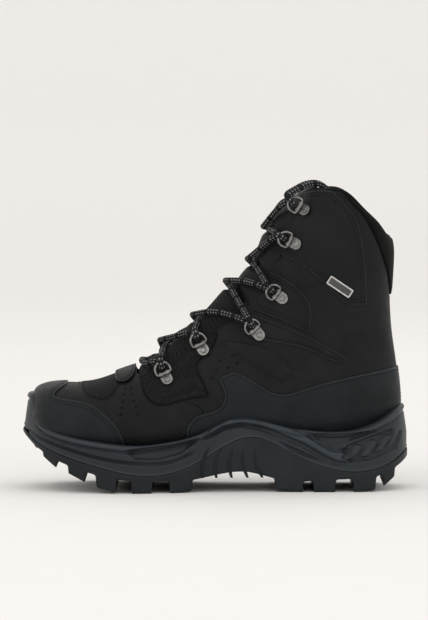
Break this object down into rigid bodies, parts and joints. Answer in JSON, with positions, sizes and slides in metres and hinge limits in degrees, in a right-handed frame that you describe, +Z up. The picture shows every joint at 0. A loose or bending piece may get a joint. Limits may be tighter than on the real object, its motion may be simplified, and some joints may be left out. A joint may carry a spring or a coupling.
{
  "type": "hiking boot",
  "caption": "High-cut laced hiking boot with layered leather and mesh upper, hinged lacing rings, padded collar and a deep-lugged rubber outsole.",
  "frame": {"origin": "on the ground under the middle of the boot's length and width", "axes": "+X from toe to heel, +Y to the inner (medial) side of this left boot, +Z up"},
  "size_m": [0.3048, 0.1129, 0.2435],
  "materials": {
    "rubber": "matte moulded dark slate rubber",
    "midsole_foam": "satin moulded slate foam",
    "shank_steel": "sprung steel strip",
    "board": "pressed fibre board",
    "footbed_fabric": "foam footbed with a knitted cover",
    "lining_fabric": "soft dark lining",
    "stiffener": "thermoplastic stiffener",
    "foam": "open-cell foam",
    "tongue_fabric": "ribbed black textile and leather",
    "base_leather": "fine-grained black leather, matte",
    "smooth_leather": "smooth coated black leather",
    "mesh_fabric": "woven black textile",
    "collar_fabric": "padded black collar cloth",
    "hardware": "antique nickel",
    "badge_enamel": "dark plain plate",
    "lace_cord": "round braided cord, black with grey flecks",
    "aglet_plastic": "hard clear-black tips"
  },
  "bodies": {
    "boot": {"outsole": "rubber", "midsole": "midsole_foam", "shank": "shank_steel", "insole_board": "board", "footbed": "footbed_fabric", "lining": "lining_fabric", "toe_puff": "stiffener", "heel_counter": "stiffener", "ankle_foam": "foam", "tongue_padding": "foam", "tongue_face": "tongue_fabric", "vamp": "base_leather", "quarter_lateral": "base_leather", "quarter_medial": "base_leather", "collar_cover": "collar_fabric", "toe_cap": "smooth_leather", "vamp_mesh": "mesh_fabric", "throat_strap": "base_leather", "mesh_panel_lateral": "mesh_fabric", "mesh_panel_medial": "mesh_fabric", "heel_overlay_lateral": "smooth_leather", "heel_overlay_medial": "smooth_leather", "bar_strap_lateral": "base_leather", "bar_strap_medial": "base_leather", "instep_strap_lateral": "base_leather", "instep_strap_medial": "base_leather", "facing_lateral": "base_leather", "facing_medial": "base_leather", "cuff_lateral": "base_leather", "cuff_medial": "base_leather", "ring_clips_lateral": "hardware", "ring_clips_medial": "hardware", "clip_rivets_lateral": "hardware", "clip_rivets_medial": "hardware", "badge_frame": "hardware", "badge_plate": "badge_enamel", "lace": "lace_cord", "aglets": "aglet_plastic"},
    "ring_lateral_1": {"d_ring_lateral_1": "hardware"},
    "ring_lateral_2": {"d_ring_lateral_2": "hardware"},
    "ring_lateral_3": {"d_ring_lateral_3": "hardware"},
    "ring_lateral_4": {"d_ring_lateral_4": "hardware"},
    "ring_lateral_5": {"d_ring_lateral_5": "hardware"},
    "ring_lateral_6": {"d_ring_lateral_6": "hardware"},
    "ring_medial_1": {"d_ring_medial_1": "hardware"},
    "ring_medial_2": {"d_ring_medial_2": "hardware"},
    "ring_medial_3": {"d_ring_medial_3": "hardware"},
    "ring_medial_4": {"d_ring_medial_4": "hardware"},
    "ring_medial_5": {"d_ring_medial_5": "hardware"},
    "ring_medial_6": {"d_ring_medial_6": "hardware"}
  },
  "joints": [
    {"name": "ring_lateral_1_hinge", "type": "hinge", "parent": "boot", "child": "ring_lateral_1", "pos_m": [-0.0397, -0.03776, 0.09297], "axis": [0.9046, 0.0989, 0.4146], "range_deg": [-4, 4]},
    {"name": "ring_lateral_2_hinge", "type": "hinge", "parent": "boot", "child": "ring_lateral_2", "pos_m": [-0.0117, -0.03116, 0.11536], "axis": [0.8709, 0.0448, 0.4894], "range_deg": [-4, 4]},
    {"name": "ring_lateral_3_hinge", "type": "hinge", "parent": "boot", "child": "ring_lateral_3", "pos_m": [0.03086, -0.03442, 0.12702], "axis": [0.7434, 0.0805, 0.664], "range_deg": [-4, 4]},
    {"name": "ring_lateral_4_hinge", "type": "hinge", "parent": "boot", "child": "ring_lateral_4", "pos_m": [0.04821, -0.03088, 0.15459], "axis": [0.5714, -0.0075, 0.8206], "range_deg": [-4, 4]},
    {"name": "ring_lateral_5_hinge", "type": "hinge", "parent": "boot", "child": "ring_lateral_5", "pos_m": [0.05831, -0.03117, 0.19643], "axis": [0.4045, -0.1009, 0.9089], "range_deg": [-4, 4]},
    {"name": "ring_lateral_6_hinge", "type": "hinge", "parent": "boot", "child": "ring_lateral_6", "pos_m": [0.06596, -0.02867, 0.22288], "axis": [0.517, 0.0737, 0.8528], "range_deg": [-4, 4]},
    {"name": "ring_medial_1_hinge", "type": "hinge", "parent": "boot", "child": "ring_medial_1", "pos_m": [-0.0397, 0.03776, 0.09297], "axis": [-0.9046, 0.0989, -0.4146], "range_deg": [-4, 4]},
    {"name": "ring_medial_2_hinge", "type": "hinge", "parent": "boot", "child": "ring_medial_2", "pos_m": [-0.0117, 0.03116, 0.11536], "axis": [-0.8709, 0.0448, -0.4894], "range_deg": [-4, 4]},
    {"name": "ring_medial_3_hinge", "type": "hinge", "parent": "boot", "child": "ring_medial_3", "pos_m": [0.03086, 0.03442, 0.12702], "axis": [-0.7434, 0.0805, -0.664], "range_deg": [-4, 4]},
    {"name": "ring_medial_4_hinge", "type": "hinge", "parent": "boot", "child": "ring_medial_4", "pos_m": [0.04821, 0.03088, 0.15459], "axis": [-0.5714, -0.0075, -0.8206], "range_deg": [-4, 4]},
    {"name": "ring_medial_5_hinge", "type": "hinge", "parent": "boot", "child": "ring_medial_5", "pos_m": [0.05831, 0.03117, 0.19643], "axis": [-0.4045, -0.1009, -0.9089], "range_deg": [-4, 4]},
    {"name": "ring_medial_6_hinge", "type": "hinge", "parent": "boot", "child": "ring_medial_6", "pos_m": [0.06596, 0.02867, 0.22288], "axis": [-0.517, 0.0737, -0.8528], "range_deg": [-4, 4]}
  ]
}
